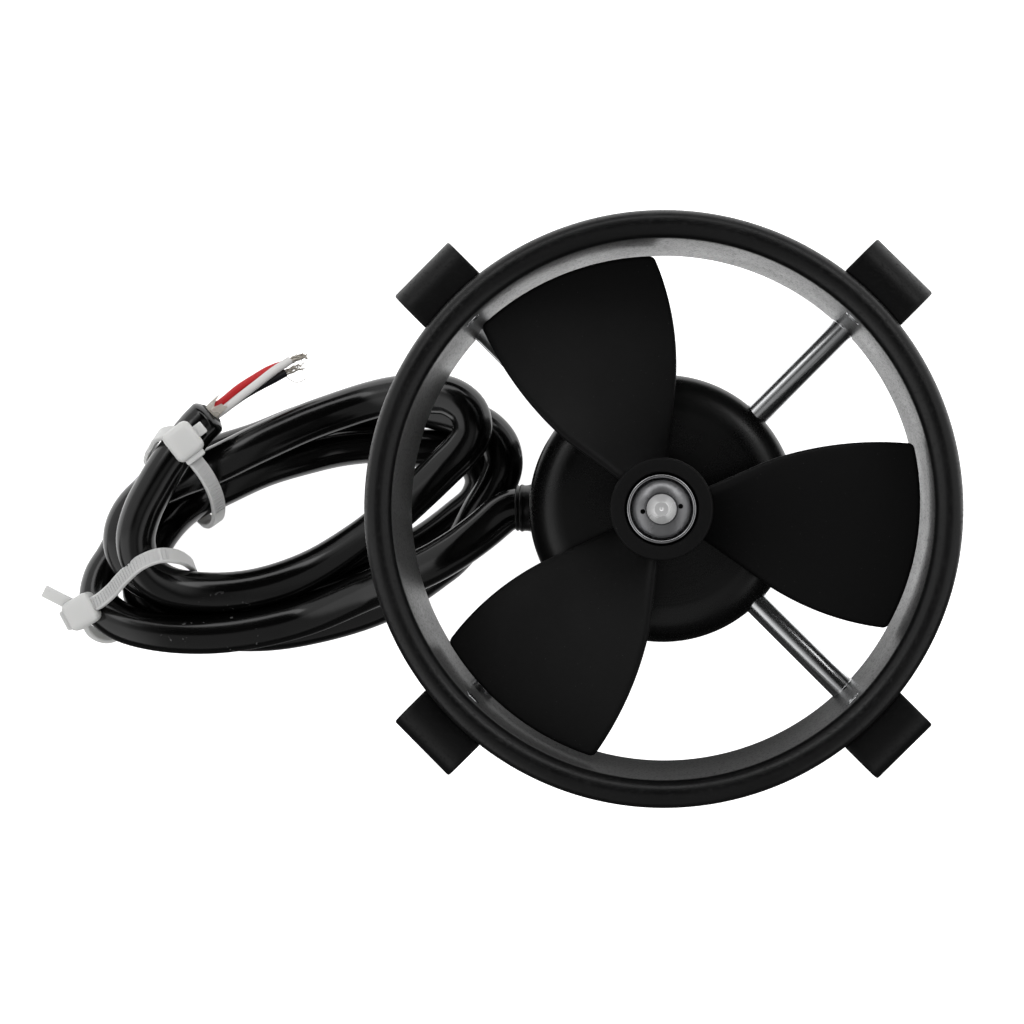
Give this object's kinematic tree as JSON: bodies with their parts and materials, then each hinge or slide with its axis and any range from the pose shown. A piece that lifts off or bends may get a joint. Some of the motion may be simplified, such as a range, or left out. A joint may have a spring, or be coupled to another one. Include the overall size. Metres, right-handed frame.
{
  "type": "propeller anemometer head",
  "caption": "Air speed sensor head: a bladed rotor spins in a short round duct in front of a round sensor body on thin struts, with a coiled signal cable tied beside it.",
  "frame": {"origin": "centre of the sensor body's flat rear face, on the duct axis, where the head stands on a table", "axes": "+Z along the duct axis from the rear face towards the air inlet; the cable leaves the body towards -X"},
  "size_m": [0.1418, 0.084, 0.056],
  "materials": {
    "bearing_steel": "ground bearing steel",
    "black_anodised": "black anodised aluminium, satin, turned",
    "board_green": "green solder mask",
    "brass": "turned brass",
    "bright_cup": "spun bright metal",
    "cable_black": "glossy black PVC jacket",
    "chip_black": "black epoxy package",
    "core_black": "black PVC core insulation",
    "core_red": "red PVC core insulation",
    "core_white": "white PVC core insulation",
    "ferrite": "sintered magnet",
    "gland_black": "black moulded rubber-like plastic",
    "impeller_black": "black glass-filled nylon moulding",
    "nylon_natural": "natural translucent nylon",
    "rubber_black": "black rubber",
    "stainless": "polished stainless steel",
    "terminal_blue": "blue moulded plastic"
  },
  "bodies": {
    "root": {"duct_ring": "black_anodised", "body_shell": "black_anodised", "rear_cover": "black_anodised", "cover_o_ring": "rubber_black", "front_bearing_outer": "bearing_steel", "rear_bearing_outer": "bearing_steel", "bearing_spacer": "brass", "bearing_circlip": "bearing_steel", "sensor_board": "board_green", "hall_sensor": "chip_black", "terminal_block": "terminal_blue", "cable_gland": "gland_black", "gland_nut": "gland_black", "inner_cable": "cable_black", "cable_lead": "cable_black", "cable_coil": "cable_black", "cable_tail": "cable_black", "cable_tie_1": "nylon_natural", "cable_tie_2": "nylon_natural", "wire_red": "core_red", "wire_white": "core_white", "wire_black": "core_black", "mount_lug_1": "black_anodised", "lug_pin_1": "stainless", "strut_1": "stainless", "mount_lug_2": "black_anodised", "lug_pin_2": "stainless", "strut_2": "stainless", "mount_lug_3": "black_anodised", "lug_pin_3": "stainless", "strut_3": "stainless", "mount_lug_4": "black_anodised", "lug_pin_4": "stainless", "strut_4": "stainless", "cover_screw_1": "stainless", "board_screw_1": "stainless", "cover_screw_2": "stainless", "board_screw_2": "stainless", "cover_screw_3": "stainless", "board_screw_3": "stainless"},
    "rotor": {"impeller": "impeller_black", "hub_cup": "bright_cup", "nose_nut": "bright_cup", "rotor_shaft": "stainless", "shaft_spacer": "brass", "shaft_collar": "brass", "sensor_magnet": "ferrite", "front_bearing_inner": "bearing_steel", "rear_bearing_inner": "bearing_steel"}
  },
  "joints": [
    {"name": "rotor_spin", "type": "hinge", "parent": "root", "child": "rotor", "pos_m": [0, 0, 0.043], "axis": [0, 0, 1], "continuous": true}
  ]
}
